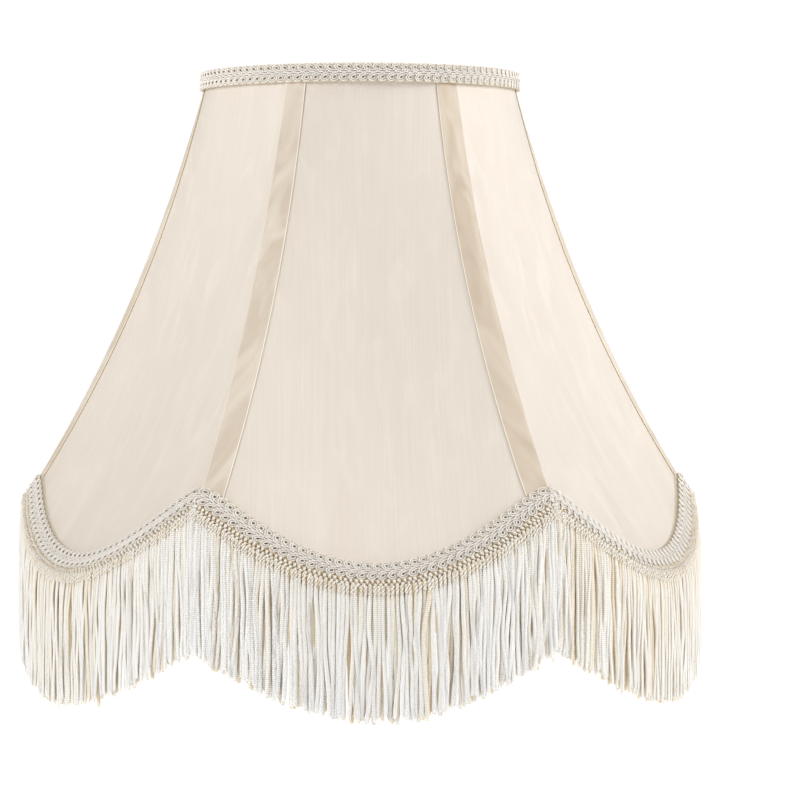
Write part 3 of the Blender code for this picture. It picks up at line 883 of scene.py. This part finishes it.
def make_binding():
    """Tape folded over the top ring, notched at the spider's arms."""
    azimuth = np.linspace(0, math.tau, TAPE_STEPS + 1)
    low, high = BINDING_INNER_OFFSET, BINDING_OUTER_OFFSET
    centre, half = (low + high) / 2, (high - low) / 2
    profile = [(depth, high) for depth in BINDING_OUTER_DEPTHS]
    for turn in np.linspace(0, math.pi, 17):
        x, y = math.cos(turn), math.sin(turn)
        depth = BINDING_SHOULDER - BINDING_CROWN * abs(y) ** 0.5
        profile.append((depth, centre + half * math.copysign(abs(x) ** 0.5, x)))
    profile += [(depth, low) for depth in BINDING_INNER_DEPTHS]
    rows = []
    for depth, offset in profile:
        share = depth / (CUSP_DEPTH if offset > 0 else hem_depth(0.0))
        rows.append(place(rib_radius(share) + offset / lean(share), azimuth, depth))
    grid = np.stack(rows)

    # The inner side is cut away where an arm comes through.
    keep = np.ones((len(profile) - 1, TAPE_STEPS), bool)
    cells = azimuth[:-1] + azimuth[1] / 2
    inside = [offset == low and depth > BINDING_SHOULDER for depth, offset in profile[:-1]]
    for arm in range(SPIDER_ARMS):
        away = (cells - HALF_PANEL - arm * math.tau / SPIDER_ARMS + math.pi) % math.tau - math.pi
        near = np.abs(away) * NOTCH_RADIUS < SPIDER_WIRE / 2 + NOTCH_CLEARANCE
        keep &= ~np.outer(inside, near)
    quads = grid_quads(len(profile), len(azimuth))[keep.ravel()]
    flat = np.stack(np.broadcast_arrays(azimuth[None] * TOP_RADIUS, run_along(grid[:, 0])[:, None]), -1)
    return cloth("folded_binding", grid, flat, quads, TAPE, TAPE_THICKNESS, 1.0)


# Assembly -------------------------------------------------------------------------------------

wires = ["fitter_washer", "spider_arm_1", "spider_arm_2", "spider_arm_3", "top_ring"]
for node in wires + [f"rib_{rib}" for rib in RIBS] + [f"scallop_wire_{name}" for name in NAMES]:
    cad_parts[node].data.materials.clear()
    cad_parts[node].data.materials.append(PAINT)


def add(piece, slot, *nodes):
    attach(piece, "root")
    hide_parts(*nodes)
    return piece


binding = add(make_binding(), "binding_tape", "top_binding")
top_gimp = add(make_gimp("scroll_gimp_top", TopLine(), *TOP_GIMP_DETAIL), "gimp_braid", "top_gimp")
for index, name in enumerate(NAMES):
    line = HemLine(index)
    cover, area = make_cover(index)
    add(cover, "cover_cloth", f"cover_{name}")
    lining, lining_area = make_lining(index)
    add(lining, "lining_cloth", f"lining_{name}")
    trims = [
        add(make_gimp(f"scroll_gimp_hem_{name}", line, *HEM_GIMP_DETAIL), "gimp_braid", f"hem_gimp_{name}"),
        add(make_heading(index, line), "fringe_cord", f"fringe_heading_{name}"),
        add(make_fringe(index, line), "fringe_cord", f"fringe_{name}"),
    ]

# Room, light and camera -----------------------------------------------------------------------

WHITE = (1.0, 1.0, 1.0, 1.0)
ROOM_LIGHT = 0.30
ROOM_SEEN = 1.05
FLOOR_Z = -1.3
FLOOR_HALF = 400.0
AIM_DEPTH = 0.15  # the lights aim this far below the fitter
CAMERA_AZIMUTH = math.radians(-2.8)
CAMERA_DISTANCE = 1.73
CAMERA_Z = -0.103

floor_look = Look("floor", roughness=0.9, specular=0.1)
floor_look.shader.inputs["Base Color"].default_value = (0.86, 0.86, 0.86, 1.0)
floor_look.shader.inputs["Emission Color"].default_value = WHITE
floor_look.shader.inputs["Emission Strength"].default_value = 0.76
corners = np.array([(-1, -1), (1, -1), (1, 1), (-1, 1)]) * FLOOR_HALF
floor_points = np.column_stack([corners, np.full(4, FLOOR_Z)])
floor = build("floor", floor_points, np.array([[0, 1, 2, 3]]), material=floor_look.material)


# The room lights the shade softly, and the camera sees it as plain white.
world = bpy.data.worlds.new("studio")
world.use_nodes = True
bpy.context.scene.world = world
room = world.node_tree
rays = room.nodes.new("ShaderNodeLightPath")
blend = room.nodes.new("ShaderNodeMixShader")
room.links.new(rays.outputs["Is Camera Ray"], blend.inputs[0])
backgrounds = (room.nodes["Background"], ROOM_LIGHT), (room.nodes.new("ShaderNodeBackground"), ROOM_SEEN)
for socket, (background, strength) in zip(blend.inputs[1:], backgrounds):
    background.inputs["Color"].default_value = WHITE
    background.inputs["Strength"].default_value = strength
    room.links.new(background.outputs[0], socket)
room.links.new(blend.outputs[0], room.nodes["World Output"].inputs["Surface"])


def area_light(name, azimuth, height, distance, size, power):
    light = bpy.data.lights.new(name, "AREA")
    light.size = size
    light.energy = power
    obj = bpy.data.objects.new(name, light)
    angle = math.radians(azimuth)
    obj.location = (distance * math.sin(angle), -distance * math.cos(angle), height)
    aim = -obj.location.copy()
    aim.z -= AIM_DEPTH
    obj.rotation_euler = aim.to_track_quat("-Z", "Y").to_euler()
    bpy.context.scene.collection.objects.link(obj)


area_light("key_right", azimuth=80, height=1.05, distance=2.2, size=1.1, power=41)
area_light("key_left", azimuth=-62, height=1.05, distance=2.2, size=0.9, power=28)
area_light("overhead", azimuth=0, height=2.2, distance=0.1, size=1.4, power=13)
area_light("back_fill", azimuth=180, height=0.9, distance=2.6, size=1.2, power=14)

camera = bpy.data.cameras.new("camera")
camera.sensor_width = 36.0
camera.lens = 160.4
camera.shift_x = 0.05
camera.shift_y = -0.11
eye = bpy.data.objects.new("camera", camera)
eye.location = (
    CAMERA_DISTANCE * math.sin(CAMERA_AZIMUTH),
    -CAMERA_DISTANCE * math.cos(CAMERA_AZIMUTH),
    CAMERA_Z,
)
eye.rotation_euler = (math.pi / 2, 0.0, CAMERA_AZIMUTH)
bpy.context.scene.collection.objects.link(eye)
bpy.context.scene.camera = eye
bpy.context.scene.view_settings.view_transform = "Standard"

bpy.context.view_layer.update()
